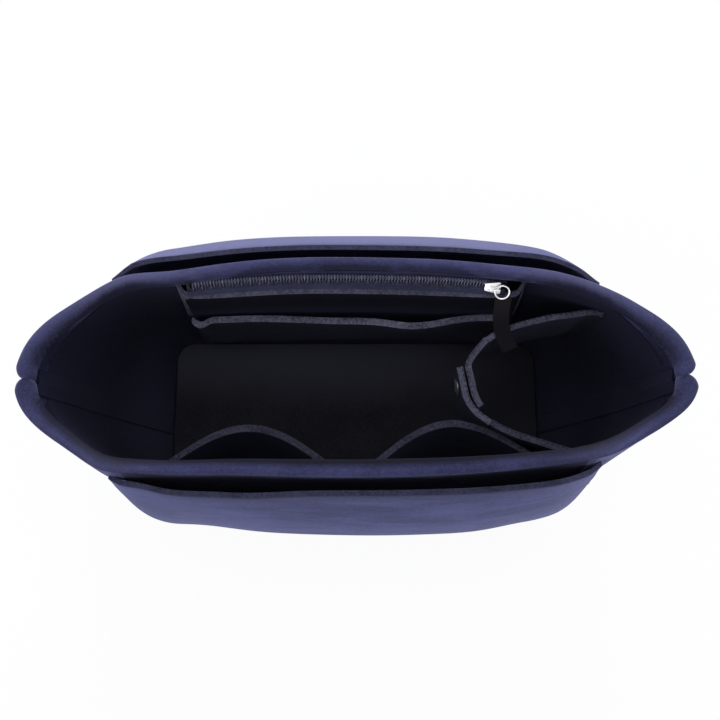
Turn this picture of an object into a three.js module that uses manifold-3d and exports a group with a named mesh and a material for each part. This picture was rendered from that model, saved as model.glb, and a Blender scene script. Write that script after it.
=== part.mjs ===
// A padded felt insert that sorts the inside of a handbag. Two padded walls stand on a flat base and meet at
// a seam at each end. Each wall carries an outer pocket. Inside are a zip pocket, a slip pocket, two gaping
// pockets and a bottle holder whose two straps close with a snap. Millimetres, +Z up, +X to the right and +Y
// to the back, with the origin under the middle of the base.
import * as THREE from "three";
import { mergeVertices } from "three/addons/utils/BufferGeometryUtils.js";
import Module from "manifold-3d";

const wasm = await Module();
wasm.setup();

// Felt, padding and the air left between pieces that touch
const wallFelt = 1.8;
const paddingThickness = 1.2;
const layerGap = 0.3;
const seatGap = 0.6;
const pocketFelt = 3.2;
const outerPocketFelt = 3;

// The mouth, over the felt
const mouthLength = 362;
const frontMouthDepth = 53;
const backMouthDepth = 65;
const rimHeight = 160;
const rimDip = 12;
const rimThickness = 9;
const rimHemDepth = 21;
const mouthEndFullness = 0.79;
const mouthEndTurn = 0.5;

// The base
const baseLength = 258;
const baseDepth = 124;
const baseCorner = 18;
const baseFelt = 2.5;
const boardThickness = 2;
const baseLiningThickness = 1.8;

// How far each wall bows out between base and rim, and how far up the bow sits (1 is halfway)
const frontBow = 2;
const frontBowSkew = 1;
const backBow = 7.6;
const backBowSkew = 2.4;

// The outer pockets, with their side ends as shares of the wall's half run
const pocketTop = rimHeight - 10;
const pocketHem = 0.3;
const pocketEndAtRim = 0.655;
const pocketEndAtFoot = 0.75;
const pocketSquareness = 8;
const frontGape = 5.5;
const frontBelly = 12;
const frontBellySkew = 1.2;
const backGape = 5.6;
const backBelly = 13.4;
const backBellySkew = 2.4;

// The zipper bends gently with the back wall, on a circle about an upright line in front of the insert, and
// its face leans back from the level by zipLean
const zipRadius = 800;
const zipMiddle = -5.5;
const zipDepth = backMouthDepth - 6.4;
const zipHeight = rimHeight - 18;
const zipLean = THREE.MathUtils.degToRad(42);
const chainLeft = -90;
const chainRight = 80;
const chainGap = 1.4;
const coilWidth = 1.8;
const coilDepth = 1.7;
const tapeThickness = 0.6;
const tapePast = 2.6;
const tapeFlat = 3.6;
const upperTapeTop = zipHeight + 5.4;
const lowerTapeOverlap = 7;
const stopLength = 2;
const sliderLength = 8.6;
const sliderWidth = 6.8;
const sliderTaper = 1.2;
const sliderPlate = 1;
const sliderCorner = 1.4;
const sliderRest = 75;
const webLength = 2;
const webWidth = 0.8;
const bridgeAlong = 1.1;
const bridgeRise = 2.4;
const bridgeSpan = 4.2;
const bridgeBar = 1;
const eyeAlong = 0.6;
const pullRadius = 3.9;
const pullWire = 1.3;
const pullTurn = THREE.MathUtils.degToRad(24);
const ribbonWidth = 9;
const ribbonThickness = 1;
const ribbonStart = 1.5;
const ribbonRight = 6.6;
const ribbonForward = 23.4;

// The zip pocket and the slip pocket on the back wall
const zipPanelLeft = -101;
const zipPanelRight = 96;
const zipPanelTop = zipHeight - 6.5;
const zipPanelBottom = 36;
const zipPanelSetOut = 6.3;
const zipPanelHollow = 3.2;
const panelFlare = 2;
const sideReturn = 8;
const slipTop = 92;
const slipInset = 4;
const slipStandoff = 5.2;

// The gaping pockets on the front wall
const gapeSeamX = -2.5;
const leftPocketX = -118;
const rightPocketX = 112;
const gapePocketTop = 112;
const gapePocketBottom = 14;
const leftPocketGape = 28.8;
const rightPocketGape = 31.5;
const gapePeak = 1.1;

// The bottle holder: each strap is sewn to its wall, runs inwards and turns to a tongue that meets the other
const strapTop = 118;
const strapBottom = 80;
const strapShoulder = 12;
const strapFelt = 2.8;
const strapSeat = 1.3;
const tongueGap = 0.6;
const snapX = 60.4;
const snapY = 5.5;
const snapHeight = 104;
const snapTurn = THREE.MathUtils.degToRad(11);
const snapSpacing = 5;
const snapFlat = 9;
const snapRadius = 5.6;
const snapPlate = 0.5;
const snapDome = 1.4;
const studRadius = 1.9;
const studPlay = 0.35;
const postRadius = 1.4;
const socketInset = 0.8;
const flangeInset = 1.2;
const rivetInset = 0.6;

const seamTapeWidth = 14;
const seamTapeThickness = 0.8;

const wallThickness = 2 * wallFelt + paddingThickness + 2 * layerGap;
const footHeight = baseFelt + layerGap;
const wallHeight = rimHeight - footHeight;
const half = wallThickness / 2;

const felt = new THREE.MeshStandardMaterial({ color: 0x343a66, roughness: 0.95 });
const darkFelt = new THREE.MeshStandardMaterial({ color: 0x1b1e38, roughness: 0.95 });
const foam = new THREE.MeshStandardMaterial({ color: 0xd8d8d2, roughness: 0.9 });
const board = new THREE.MeshStandardMaterial({ color: 0x9a938a, roughness: 0.8 });
const tape = new THREE.MeshStandardMaterial({ color: 0x23264a, roughness: 0.8 });
const nylon = new THREE.MeshStandardMaterial({ color: 0x2a2e58, roughness: 0.45 });
const metal = new THREE.MeshStandardMaterial({ color: 0xd9d9dc, roughness: 0.2, metalness: 1 });
const ribbon = new THREE.MeshStandardMaterial({ color: 0x241c1a, roughness: 0.85 });

const organiser = new THREE.Group();

function add(name, geometry, material) {
  const mesh = new THREE.Mesh(geometry, material);
  mesh.name = name;
  organiser.add(mesh);
}

// Even stops from one value to another
function stops(from, to, count) {
  return Array.from({ length: count + 1 }, (_, i) => from + ((to - from) * i) / count);
}

function signedVolume(positions, indices) {
  let sum = 0;
  const [a, b, c] = [new THREE.Vector3(), new THREE.Vector3(), new THREE.Vector3()];
  for (let i = 0; i < indices.length; i += 3) {
    a.fromArray(positions, 3 * indices[i]);
    b.fromArray(positions, 3 * indices[i + 1]);
    c.fromArray(positions, 3 * indices[i + 2]);
    sum += a.dot(b.cross(c)) / 6;
  }
  return sum;
}

// A closed solid: the outline(u) polygon of [out, up] pairs is set in space by place(u, out, up) at each stop.
// Each four-sided face is split along its rising diagonal, so that layers side by side keep their gap. The ends
// are closed by strips between the outline's two halves, which have as many points as each other.
function sweep(stations, outline, place) {
  const count = outline(stations[0]).length;
  const positions = [];
  for (const u of stations) {
    for (const [out, up] of outline(u)) positions.push(...place(u, out, up).toArray());
  }
  const indices = [];
  for (let i = 0; i + 1 < stations.length; i++) {
    for (let j = 0; j < count; j++) {
      const k = (j + 1) % count;
      const [a, b, c, d] = [i * count + j, (i + 1) * count + j, (i + 1) * count + k, i * count + k];
      const rising = outline(stations[i])[k][1] >= outline(stations[i])[j][1];
      indices.push(...(rising ? [a, b, c, a, c, d] : [a, b, d, b, c, d]));
    }
  }
  const last = (stations.length - 1) * count;
  for (let j = 0; j + 1 < count / 2; j++) {
    const [p, q, r, t] = [j, j + 1, count - 2 - j, count - 1 - j];
    indices.push(p, q, r, p, r, t);
    indices.push(last + p, last + r, last + q, last + p, last + t, last + r);
  }
  if (signedVolume(positions, indices) < 0) indices.reverse();
  const geometry = new THREE.BufferGeometry();
  geometry.setAttribute("position", new THREE.Float32BufferAttribute(positions, 3));
  geometry.setIndex(indices);
  return geometry;
}

// The outline of a sheet: inner face at out = near, outer face at out = far, from bottom to top
function sheetOutline(near, far, bottom, top, steps) {
  const levels = stops(bottom, top, steps);
  return [...levels.map((h) => [far, h]), ...levels.reverse().map((h) => [near, h])];
}

function toManifold(geometry) {
  const bare = geometry.clone();
  for (const name of ["normal", "uv"]) bare.deleteAttribute(name);
  const merged = mergeVertices(bare, 1e-3);
  return new wasm.Manifold(
    new wasm.Mesh({
      numProp: 3,
      vertProperties: merged.attributes.position.array,
      triVerts: new Uint32Array(merged.index.array),
    }),
  );
}

function fromManifold(solid) {
  const mesh = solid.getMesh();
  const geometry = new THREE.BufferGeometry();
  geometry.setAttribute("position", new THREE.Float32BufferAttribute(mesh.vertProperties, 3));
  geometry.setIndex(Array.from(mesh.triVerts));
  return geometry;
}

function join(...geometries) {
  return fromManifold(geometries.map(toManifold).reduce((all, next) => all.add(next)));
}

function cut(geometry, tool) {
  return fromManifold(toManifold(geometry).subtract(toManifold(tool)));
}

// A wall's middle surface. along runs from -1 at the left seam to 1 at the right seam, up is in millimetres
// from the wall's foot, and out is the distance from the middle surface, away from the inside.
function makeWall(side, mouthDepth, bow, bowSkew) {
  const seamY = (side * layerGap) / 2;
  const endX = mouthLength / 2 - half;
  const mouthY = side * (mouthDepth - half);
  const rim = new THREE.CubicBezierCurve(
    new THREE.Vector2(0, mouthY),
    new THREE.Vector2(mouthEndFullness * endX, mouthY),
    new THREE.Vector2(endX, mouthEndTurn * mouthY),
    new THREE.Vector2(endX, seamY),
  );
  const footX = baseLength / 2 - half;
  const footY = baseDepth / 2 - half;
  const corner = baseCorner - half;
  const foot = new THREE.CurvePath();
  foot.add(new THREE.LineCurve(new THREE.Vector2(0, side * footY), new THREE.Vector2(footX - corner, side * footY)));
  foot.add(
    new THREE.EllipseCurve(
      footX - corner,
      side * (footY - corner),
      corner,
      corner,
      (side * Math.PI) / 2,
      0,
      side > 0,
    ),
  );
  foot.add(
    new THREE.LineCurve(new THREE.Vector2(footX, side * (footY - corner)), new THREE.Vector2(footX, seamY)),
  );
  function middle(along, up) {
    const share = Math.min(Math.abs(along), 1);
    const lift = up / wallHeight;
    const p = foot.getPointAt(share).lerp(rim.getPointAt(share), lift);
    const dip = rimDip * (share * share * (3 - 2 * share)) ** 2;
    const bulge = bow * Math.sin(Math.PI * Math.max(lift, 0) ** bowSkew) * (1 - share ** 4);
    const z = footHeight + (up * (wallHeight - dip)) / wallHeight;
    return new THREE.Vector3(Math.sign(along) * p.x, p.y + side * bulge, z);
  }
  function at(along, up, out) {
    const step = 1e-3;
    const run = middle(Math.min(along + step, 1), up).sub(middle(Math.max(along - step, -1), up));
    const outward = new THREE.Vector3(-side * run.y, side * run.x, 0).normalize();
    return middle(along, up).addScaledVector(outward, out);
  }
  // The value of along where the wall passes a given x
  function alongAt(x, up) {
    let [low, high] = [0, 1];
    for (let i = 0; i < 30; i++) {
      const guess = (low + high) / 2;
      if (middle(guess, up).x < Math.abs(x)) low = guess;
      else high = guess;
    }
    return Math.sign(x) * low;
  }
  return { side, at, alongAt };
}

const frontWall = makeWall(-1, frontMouthDepth, frontBow, frontBowSkew);
const backWall = makeWall(1, backMouthDepth, backBow, backBowSkew);
const walls = { front: frontWall, back: backWall };

// Closer stops where the wall turns its corner, and closer levels towards the rim
const cornerStart = 0.5;
const cornerEnd = 0.84;
const halfStops = [...stops(0, cornerStart, 3), ...stops(cornerStart, cornerEnd, 7).slice(1)];
halfStops.push(...stops(cornerEnd, 1, 3).slice(1));
const wallStops = [...halfStops.slice(1).reverse().map((s) => -s), ...halfStops];
const liningTop = wallHeight - rimHemDepth - layerGap;
const wallLevels = stops(0, Math.PI / 2, 7).map((a) => liningTop * Math.sin(a));

// The rim is a soft roll, with straight sides below its half round and a slope back to the wall's own thickness
const rollSide = 3;
const rollSlope = 4;
const rollOut = half - rimThickness / 2;
const rollUp = wallHeight - rimThickness / 2;
const rollFoot = rollUp - rollSide;

function halfRound(radius, from, to, count) {
  return stops(from, to, count).map((a) => [rollOut + radius * Math.cos(a), rollUp + radius * Math.sin(a)]);
}

function shellOutline() {
  const inner = half - rimThickness;
  const hemEnd = wallHeight - rimHemDepth;
  return [
    ...wallLevels.map((h) => [half, h]),
    ...halfRound(rimThickness / 2, 0, Math.PI, 6),
    [inner, rollFoot],
    [-half, rollFoot - rollSlope],
    [-half, hemEnd],
    [-half + wallFelt, hemEnd],
    [-half + wallFelt, rollFoot - rollSlope],
    [inner + wallFelt, rollFoot],
    ...halfRound(rimThickness / 2 - wallFelt, Math.PI, 0, 6),
    ...[...wallLevels].reverse().map((h) => [half - wallFelt, h]),
  ];
}

function paddingOutline() {
  const inset = wallFelt + layerGap;
  return [
    ...wallLevels.map((h) => [half - inset, h]),
    ...halfRound(rimThickness / 2 - inset, 0, Math.PI, 5),
    [half - rimThickness + inset, rollFoot],
    [-half + inset, rollFoot - rollSlope],
    ...[...wallLevels].reverse().map((h) => [-half + inset, h]),
  ];
}

function buildWalls() {
  const [shell, padding] = [shellOutline(), paddingOutline()];
  const lining = [
    ...wallLevels.map((h) => [-half + wallFelt, h]),
    ...[...wallLevels].reverse().map((h) => [-half, h]),
  ];
  for (const [name, wall] of Object.entries(walls)) {
    const place = (along, out, up) => wall.at(along, up, out);
    add(`${name}_wall_shell`, sweep(wallStops, () => shell, place), felt);
    add(`${name}_wall_padding`, sweep(wallStops, () => padding, place), foam);
    add(`${name}_wall_lining`, sweep(wallStops, () => lining, place), darkFelt);
  }
}

// A flat piece of the base whose edge keeps one distance from the walls' middle surfaces, turn for turn
function basePlate(out, bottom, thickness) {
  const edge = [
    ...wallStops.map((s) => backWall.at(s, 0, out)),
    ...[...wallStops].reverse().map((s) => frontWall.at(s, 0, out)),
  ];
  const shape = new THREE.Shape(edge.map((p) => new THREE.Vector2(p.x, p.y)));
  return new THREE.ExtrudeGeometry(shape, { depth: thickness, bevelEnabled: false }).translate(0, 0, bottom);
}

function buildBase() {
  const inside = -half - seatGap;
  add("base_felt", basePlate(half, 0, baseFelt), felt);
  add("base_board", basePlate(inside, footHeight, boardThickness), board);
  const liningBottom = footHeight + boardThickness + layerGap;
  add("base_lining", basePlate(inside, liningBottom, baseLiningThickness), darkFelt);
}

function buildSeamTapes() {
  const reach = seamTapeWidth / 2 / (mouthLength / 2);
  const bottom = boardThickness + baseLiningThickness + 3 * layerGap;
  const top = rollFoot - rollSlope - seamTapeThickness;
  const near = -half - seatGap;
  const outline = sheetOutline(near - seamTapeThickness, near, bottom, top, 4);
  for (const [name, end] of [["left", -1], ["right", 1]]) {
    const place = (v, out, up) => {
      const wall = v < 0 ? frontWall : backWall;
      const p = wall.at(end * (1 - Math.abs(v) * reach), up, out);
      if (v === 0) p.y = 0;
      return p;
    };
    add(`${name}_seam_tape`, sweep(stops(-1, 1, 4), () => outline, place), tape);
  }
}

// An outer pocket is a sheet sewn to its wall along both sides and the foot, full at the belly and open on top
function buildOuterPocket(name, wall, gape, belly, skew) {
  const top = pocketTop - footHeight;
  const outline = sheetOutline(0, outerPocketFelt, pocketHem - footHeight, top, 9);
  const place = (across, out, up) => {
    const lift = Math.max(up / top, 0);
    const along = across * THREE.MathUtils.lerp(pocketEndAtFoot, pocketEndAtRim, lift);
    const fill = gape * lift + belly * Math.sin(Math.PI * lift ** skew);
    const swell = fill * (1 - Math.abs(across) ** pocketSquareness);
    return wall.at(along, up, half + seatGap + swell + out);
  };
  const across = [...stops(-1, -0.76, 5), ...stops(-0.76, 0.76, 8).slice(1), ...stops(0.76, 1, 5).slice(1)];
  add(name, sweep(across, () => outline, place), felt);
}

// The inside face of a wall, found for a given x and height above the table
function insideFace(wall, x, z, standoff) {
  const up = z - footHeight;
  return wall.at(wall.alongAt(x, up), up, -half - standoff);
}

// A point of the zipper: x runs along the chain, across goes up its face, above stands off its face
function onZip(x, across, above) {
  const turn = (x - zipMiddle) / zipRadius;
  const reach = zipRadius + across * Math.cos(zipLean) - above * Math.sin(zipLean);
  return new THREE.Vector3(
    zipMiddle + reach * Math.sin(turn),
    zipDepth - zipRadius + reach * Math.cos(turn),
    zipHeight + across * Math.sin(zipLean) + above * Math.cos(zipLean),
  );
}

// How far a stop lies into the stretch near either side where a sheet turns back to the wall, from 0 to 1
function sideTurn(x, left, right) {
  return 1 - THREE.MathUtils.smoothstep(Math.min(x - left, right - x), 0, sideReturn);
}

// The zip pocket's panel hangs in front of the back wall under the zipper, and its sides turn back to the lining
function zipPanel(x, z) {
  const lift = (z - zipPanelBottom) / (zipPanelTop - zipPanelBottom);
  const spread = 1 + (panelFlare * (1 - lift)) / zipPanelRight;
  const wallY = insideFace(backWall, x * spread, z, seatGap + pocketFelt / 2).y;
  const hungY = THREE.MathUtils.lerp(
    insideFace(backWall, 0, zipPanelBottom, seatGap + pocketFelt / 2).y,
    onZip(x, 0, 0).y - zipPanelSetOut,
    lift,
  );
  const y = Math.min(hungY + zipPanelHollow * Math.sin(Math.PI * lift), wallY);
  const turn = sideTurn(x, zipPanelLeft, zipPanelRight);
  return new THREE.Vector3(x * spread, THREE.MathUtils.lerp(y, wallY, turn), z);
}

function buildBackPockets() {
  const sides = (left, right) => [
    ...stops(left, left + sideReturn, 3),
    ...stops(left + sideReturn, right - sideReturn, 8).slice(1),
    ...stops(right - sideReturn, right, 3).slice(1),
  ];
  const shift = (p, y) => p.add(new THREE.Vector3(0, y, 0));
  const panel = sheetOutline(-pocketFelt / 2, pocketFelt / 2, zipPanelBottom, zipPanelTop, 7);
  const panelPlace = (x, out, z) => shift(zipPanel(x, z), out);
  add("zip_pocket_panel", sweep(sides(zipPanelLeft, zipPanelRight), () => panel, panelPlace), felt);

  const [slipLeft, slipRight] = [zipPanelLeft + slipInset, zipPanelRight - slipInset];
  const slipBottom = zipPanelBottom + slipInset;
  const slip = sheetOutline(-pocketFelt / 2, pocketFelt / 2, slipBottom, slipTop, 4);
  const slipPlace = (x, out, z) => {
    const lift = (z - slipBottom) / (slipTop - slipBottom);
    const open = slipStandoff * Math.sin((Math.PI / 2) * lift) * (1 - sideTurn(x, slipLeft, slipRight));
    return shift(zipPanel(x, z), out - pocketFelt - seatGap - open);
  };
  add("slip_pocket_panel", sweep(sides(slipLeft, slipRight), () => slip, slipPlace), felt);
}

const chainStops = stops(chainLeft, chainRight, 14);
const tapeStops = [chainLeft - tapePast, ...chainStops, chainRight + tapePast];
const coilBase = tapeThickness / 2 + layerGap;

// Each tape lies flat beside the chain. The upper one ends against the wall, the lower one behind the panel.
function buildTapes() {
  const t = tapeThickness / 2;
  const strip = (levels) => [...levels.map((v) => [-t, v]), ...[...levels].reverse().map((v) => [t, v])];
  const upper = strip([chainGap / 2, tapeFlat, tapeFlat + 1]);
  const upperPlace = (x, side, v) => {
    if (v <= tapeFlat) return onZip(x, v, side);
    return insideFace(backWall, x, upperTapeTop, seatGap + t).add(new THREE.Vector3(0, -side, 0));
  };
  add("zipper_upper_tape", sweep(tapeStops, () => upper, upperPlace), tape);
  const lower = strip([-tapeFlat - lowerTapeOverlap, -tapeFlat - 1, -tapeFlat, -chainGap / 2]);
  const lowerPlace = (x, side, v) => {
    if (v >= -tapeFlat) return onZip(x, v, side);
    const p = zipPanel(x, zipPanelTop + tapeFlat + 1 + v);
    return p.add(new THREE.Vector3(0, pocketFelt / 2 + layerGap + t - side, 0));
  };
  add("zipper_lower_tape", sweep(tapeStops, () => lower, lowerPlace), tape);
}

function zipBlock(x0, x1, a0, a1) {
  const outline = [[a0, coilBase], [a1, coilBase], [a1, coilBase + coilDepth], [a0, coilBase + coilDepth]];
  return sweep([x0, x1], () => outline, onZip);
}

function buildChain() {
  const innerEdge = chainGap / 2;
  const outerEdge = innerEdge + coilWidth;
  for (const [name, way] of [["upper", 1], ["lower", -1]]) {
    const middle = [way * (innerEdge + coilWidth / 2), coilBase + coilDepth / 2];
    const round = stops(0, 2 * Math.PI, 10).slice(1);
    const coil = round.map((a) => [
      middle[0] + (coilWidth / 2) * Math.cos(a),
      middle[1] + (coilDepth / 2) * Math.sin(a),
    ]);
    add(`zipper_${name}_coil`, sweep(chainStops, () => coil, onZip), nylon);
    const stopAt = chainRight + layerGap;
    const stop = zipBlock(stopAt, stopAt + stopLength, way * innerEdge, way * outerEdge);
    add(`zipper_${name}_top_stop`, stop, metal);
  }
  const bottomStop = chainLeft - layerGap;
  add("zipper_bottom_stop", zipBlock(bottomStop - stopLength, bottomStop, -outerEdge, outerEdge), metal);
}

// A piece drawn flat at the slider, with x along the chain, y across it and z above it, is set in its place
function atSlider(geometry) {
  const turn = (sliderRest - zipMiddle) / zipRadius;
  const along = new THREE.Vector3(Math.cos(turn), -Math.sin(turn), 0);
  const across = onZip(sliderRest, 1, 0).sub(onZip(sliderRest, 0, 0));
  const above = onZip(sliderRest, 0, 1).sub(onZip(sliderRest, 0, 0));
  const matrix = new THREE.Matrix4().makeBasis(along, across, above);
  return geometry.applyMatrix4(matrix.setPosition(onZip(sliderRest, 0, 0)));
}

const plateTop = coilBase + coilDepth + layerGap + sliderPlate;

// The slider: two plates round the chain, held together by a web between the coils, and a bridge on top
function buildSlider() {
  const [long, wide] = [sliderLength / 2, sliderWidth / 2];
  const narrow = wide - sliderTaper;
  const shape = new THREE.Shape();
  shape.moveTo(-long, -narrow + sliderCorner / 2);
  shape.quadraticCurveTo(-long, -narrow, -long + sliderCorner / 2, -narrow);
  shape.lineTo(long - sliderCorner, -wide);
  shape.quadraticCurveTo(long, -wide, long, -wide + sliderCorner);
  shape.lineTo(long, wide - sliderCorner);
  shape.quadraticCurveTo(long, wide, long - sliderCorner, wide);
  shape.lineTo(-long + sliderCorner / 2, narrow);
  shape.quadraticCurveTo(-long, narrow, -long, narrow - sliderCorner / 2);
  const options = { depth: sliderPlate, bevelEnabled: false, curveSegments: 4 };
  const plate = (bottom) => new THREE.ExtrudeGeometry(shape, options).translate(0, 0, bottom);
  const backPlate = -tapeThickness / 2 - layerGap - sliderPlate;
  const web = new THREE.BoxGeometry(webLength, webWidth, plateTop - backPlate - sliderPlate);
  web.translate(long - webLength / 2 - sliderCorner / 2, 0, (plateTop + backPlate) / 2);
  const arch = new THREE.Shape();
  const [inner, outer, top] = [bridgeSpan / 2, bridgeSpan / 2 + bridgeBar, bridgeRise + bridgeBar];
  const sunk = -sliderPlate / 2;
  arch.moveTo(-outer, sunk);
  arch.lineTo(-outer, top - bridgeBar);
  arch.quadraticCurveTo(-outer, top, -outer + bridgeBar, top);
  arch.lineTo(outer - bridgeBar, top);
  arch.quadraticCurveTo(outer, top, outer, top - bridgeBar);
  arch.lineTo(outer, sunk);
  arch.lineTo(inner, sunk);
  arch.lineTo(inner, bridgeRise);
  arch.lineTo(-inner, bridgeRise);
  arch.lineTo(-inner, sunk);
  const barOptions = { depth: bridgeBar, bevelEnabled: false, curveSegments: 4 };
  const bridge = new THREE.ExtrudeGeometry(arch, barOptions).rotateX(Math.PI / 2);
  bridge.translate(bridgeAlong, bridgeBar / 2, plateTop);
  const slider = join(plate(backPlate), plate(plateTop - sliderPlate), web, bridge);
  add("zipper_slider", atSlider(slider), metal);
}

// The pull is a wire ring through the bridge, lying on the slider's face and turned a little down
const eye = new THREE.Vector3(bridgeAlong + eyeAlong, 0, plateTop + bridgeRise / 2);
const ringMiddle = new THREE.Vector3(Math.cos(pullTurn), -Math.sin(pullTurn), 0);
ringMiddle.multiplyScalar(pullRadius).add(eye);

function buildPull() {
  const ring = new THREE.TorusGeometry(pullRadius, pullWire / 2, 8, 24);
  add("zipper_pull", atSlider(ring.translate(...ringMiddle.toArray())), metal);
}

// A short ribbon hangs from the ring and lies over the top edge of the back strap
function buildRibbon() {
  const below = pullRadius + pullWire / 2 + layerGap;
  const top = onZip(sliderRest + ringMiddle.x + ribbonStart, ringMiddle.y - below, ringMiddle.z);
  const rest = strapTop + seatGap + ribbonThickness / 2;
  // How far forward it has come, and how much of its drop is still left, as shares
  const course = [[0, 1], [0.09, 0.7], [0.26, 0.3], [0.44, 0.04], [0.64, 0], [1, 0]];
  const points = course.map(([forward, left]) => {
    const [x, y] = [top.x + ribbonRight * forward ** 1.5, top.y - ribbonForward * forward];
    return new THREE.Vector3(x, y, THREE.MathUtils.lerp(rest, top.z, left));
  });
  const path = new THREE.CatmullRomCurve3(points);
  const place = (u, out, across) => {
    const run = path.getTangent(u);
    const side = new THREE.Vector3(1, 0, 0).addScaledVector(run, -run.x).normalize();
    const up = new THREE.Vector3().crossVectors(side, run).normalize();
    return path.getPoint(u).addScaledVector(side, across).addScaledVector(up, out);
  };
  const [t, w] = [ribbonThickness / 2, ribbonWidth / 2];
  const outline = [[-t, -w], [t, -w], [t, w], [-t, w]];
  add("pull_ribbon", sweep(stops(0, 1, 16), () => outline, place), ribbon);
}

// A gaping pocket: its sheet is wider than the wall behind it, so its mouth stands off in an arch
function buildGapingPocket(name, x0, x1, gape) {
  const up = gapePocketTop - footHeight;
  const [from, to] = [frontWall.alongAt(x0, up), frontWall.alongAt(x1, up)];
  const bottom = gapePocketBottom - footHeight;
  const outline = sheetOutline(0, pocketFelt, bottom, up, 5);
  const place = (share, out, height) => {
    const lift = (height - bottom) / (up - bottom);
    const open = gape * Math.sin(Math.PI * share) ** gapePeak * Math.sin((Math.PI / 2) * lift);
    const along = THREE.MathUtils.lerp(from, to, share);
    return frontWall.at(along, height, -half - seatGap - open - out);
  };
  add(name, sweep(stops(0, 1, 18), () => outline, place), felt);
}

// The snap's own directions in plan: through the straps, and along them
const snapThrough = new THREE.Vector2(Math.cos(snapTurn), Math.sin(snapTurn));
const snapAlong = new THREE.Vector2(-Math.sin(snapTurn), Math.cos(snapTurn));
const snapSeat = new THREE.Vector2(snapX, snapY);

function nearSnap(through, along) {
  return snapSeat.clone().addScaledVector(snapThrough, through).addScaledVector(snapAlong, along).toArray();
}

// Each strap in plan: where along the wall its root is sewn, then its free run, its turn and its tongue, which
// is flat at the snap
const straps = {
  front: {
    wall: frontWall,
    root: [0.71, 0.68],
    run: [[120, -35], [111.2, -32.6], [98.5, -28.7], [86.6, -24.5]],
    turn: [75.5, -18.2],
    tongue: [[68.4, -13], [64.4, -8], nearSnap(0, -snapFlat), nearSnap(0, 0), nearSnap(0, snapFlat)],
  },
  back: {
    wall: backWall,
    root: [0.735, 0.71],
    run: [[121, 43.3], [110.9, 41.6], [101.3, 39.2], [90.7, 36.7], [82, 33.4]],
    turn: [74.6, 29.7],
    tongue: [
      [68.9, 23.9],
      [65.3, 19.2],
      nearSnap(snapSpacing, snapFlat),
      nearSnap(snapSpacing, 0),
      nearSnap(snapSpacing, -snapFlat),
      [70.2, -8.5],
    ],
  },
};

// The strap's line at a given height, a curve that follows the wall at its root
function strapLine(strap, z) {
  const root = strap.root.map((s) => strap.wall.at(s, z - footHeight, -half - strapSeat - strapFelt / 2));
  const free = [...strap.run, strap.turn, ...strap.tongue].map(([x, y]) => new THREE.Vector3(x, y, z));
  return new THREE.CatmullRomCurve3([...root, ...free], false, "centripetal");
}

// The share of the strap's line at which a counted point of it lies
function shareOf(strap, points) {
  return points / (strap.root.length + strap.run.length + strap.tongue.length);
}

function strapSheet(strap, from, to, count) {
  const rootEnd = shareOf(strap, strap.root.length);
  const outline = (u) => {
    const shoulder = strapShoulder * (1 - THREE.MathUtils.smoothstep(u, 0, rootEnd));
    return sheetOutline(-strapFelt / 2, strapFelt / 2, strapBottom, strapTop + shoulder, 4);
  };
  const place = (u, out, z) => {
    const line = strapLine(strap, z);
    const run = line.getTangent(u);
    return line.getPoint(u).add(new THREE.Vector3(-run.y, run.x, 0).normalize().multiplyScalar(out));
  };
  return sweep(stops(from, to, count), outline, place);
}

// A turned piece of the snap. Its profile is given as [radius, distance through the straps] pairs.
function turned(profile) {
  const points = profile.map(([r, through]) => new THREE.Vector2(r, through));
  const piece = new THREE.LatheGeometry(points, 16).rotateZ(-Math.PI / 2).rotateZ(snapTurn);
  return piece.translate(snapX, snapY, snapHeight);
}

function buildBottleHolder() {
  const holeRadius = postRadius + studPlay;
  const hole = new THREE.CylinderGeometry(holeRadius, holeRadius, 4 * snapSpacing, 12);
  hole.rotateZ(-Math.PI / 2).rotateZ(snapTurn).translate(snapX, snapY, snapHeight);
  for (const [name, strap] of Object.entries(straps)) {
    const turn = shareOf(strap, strap.root.length + strap.run.length);
    const split = tongueGap / 2 / strapLine(strap, snapHeight).getLength();
    add(`holder_${name}_strap`, strapSheet(strap, 0, turn - split, 16), felt);
    add(`holder_${name}_tongue`, cut(strapSheet(strap, turn + split, 1, 16), hole), felt);
  }
  const face = strapFelt / 2 + layerGap;
  const socketFace = face + snapPlate + layerGap / 2;
  const cap = [[0, -face - snapDome], [0.6 * snapRadius, -face - 0.8 * snapDome], [snapRadius, -face - snapPlate]];
  cap.push([snapRadius, -face], [postRadius, -face], [postRadius, face - layerGap], [0, face - layerGap]);
  add("snap_cap", turned(cap), metal);
  const bore = studRadius + studPlay;
  const socketRadius = snapRadius - socketInset;
  const socket = [[bore, face], [socketRadius, face], [socketRadius, socketFace], [bore, socketFace], [bore, face]];
  add("snap_socket", turned(socket), metal);
  const flange = snapSpacing - face - snapPlate;
  const flangeRadius = snapRadius - flangeInset;
  const stud = [[0, face + layerGap], [0.7 * studRadius, face + layerGap], [studRadius, socketFace]];
  stud.push([studRadius, flange], [flangeRadius, flange], [flangeRadius, flange + snapPlate], [0, flange + snapPlate]);
  add("snap_stud", turned(stud), metal);
  const back = snapSpacing + face;
  const rivet = [[0, flange + snapPlate + layerGap], [postRadius, flange + snapPlate + layerGap], [postRadius, back]];
  const rivetRadius = snapRadius - rivetInset;
  rivet.push([rivetRadius, back], [rivetRadius, back + snapPlate], [0, back + 2 * snapPlate]);
  add("snap_rivet", turned(rivet), metal);
}

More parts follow.
